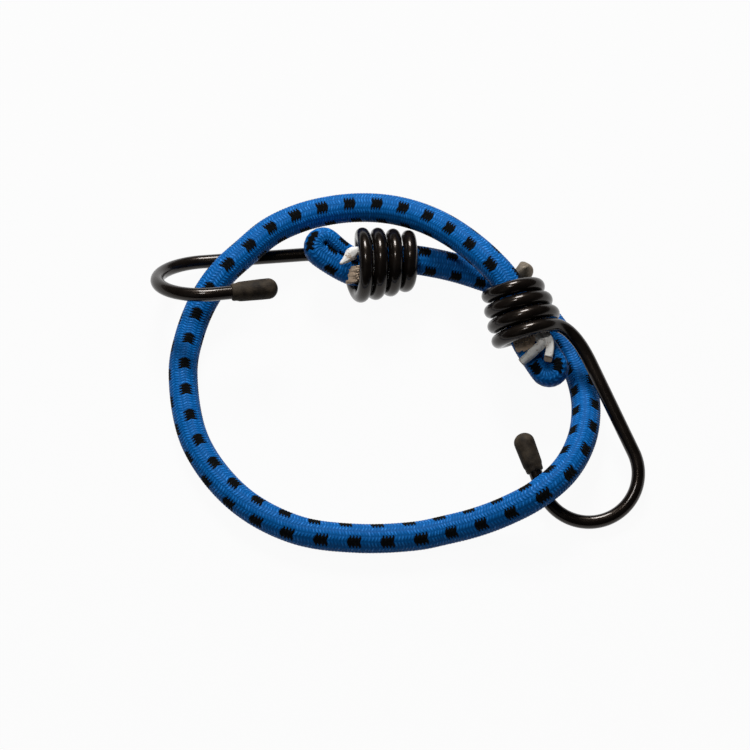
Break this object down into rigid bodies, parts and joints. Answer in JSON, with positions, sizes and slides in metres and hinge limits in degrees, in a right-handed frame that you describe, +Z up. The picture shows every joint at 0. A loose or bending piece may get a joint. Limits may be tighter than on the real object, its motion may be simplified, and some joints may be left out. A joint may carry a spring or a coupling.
{
  "type": "bungee cord with hooks",
  "caption": "Elastic bungee cord with a woven cover over rubber strands, lying in a loop, with a coiled wire hook gripped on each folded end and a soft cap on each tip.",
  "frame": {"origin": "On the table, under the middle of the box round the two hooks.", "axes": "+Z up from the table, +X to the right along the longer way between the hooks, +Y away from the viewer."},
  "size_m": [0.1345, 0.1036, 0.0278],
  "materials": {
    "woven_cover": "woven, blue with black tracers",
    "core_rubber": "dusted with white talc",
    "coated_wire": "glossy black coating",
    "soft_cap": "matte, soft"
  },
  "bodies": {
    "cord": {"cord_cover": "woven_cover", "core_strand_middle": "core_rubber", "core_strand_1": "core_rubber", "core_strand_2": "core_rubber", "core_strand_3": "core_rubber", "core_strand_4": "core_rubber", "core_strand_5": "core_rubber", "core_strand_6": "core_rubber"},
    "hook_a": {"hook_wire_a": "coated_wire", "tip_cap_a": "soft_cap"},
    "hook_b": {"hook_wire_b": "coated_wire", "tip_cap_b": "soft_cap"}
  },
  "joints": [
    {"name": "hook_a_swivel", "type": "hinge", "parent": "cord", "child": "hook_a", "pos_m": [-0.0119, 0.0326, 0.0104], "axis": [-0.9816, -0.1607, 0.1028], "range_deg": [-4, 50]},
    {"name": "hook_b_swivel", "type": "hinge", "parent": "cord", "child": "hook_b", "pos_m": [0.0362, 0.0081, 0.0158], "axis": [0.3462, -0.9018, -0.2588], "range_deg": [-8, 60]}
  ]
}
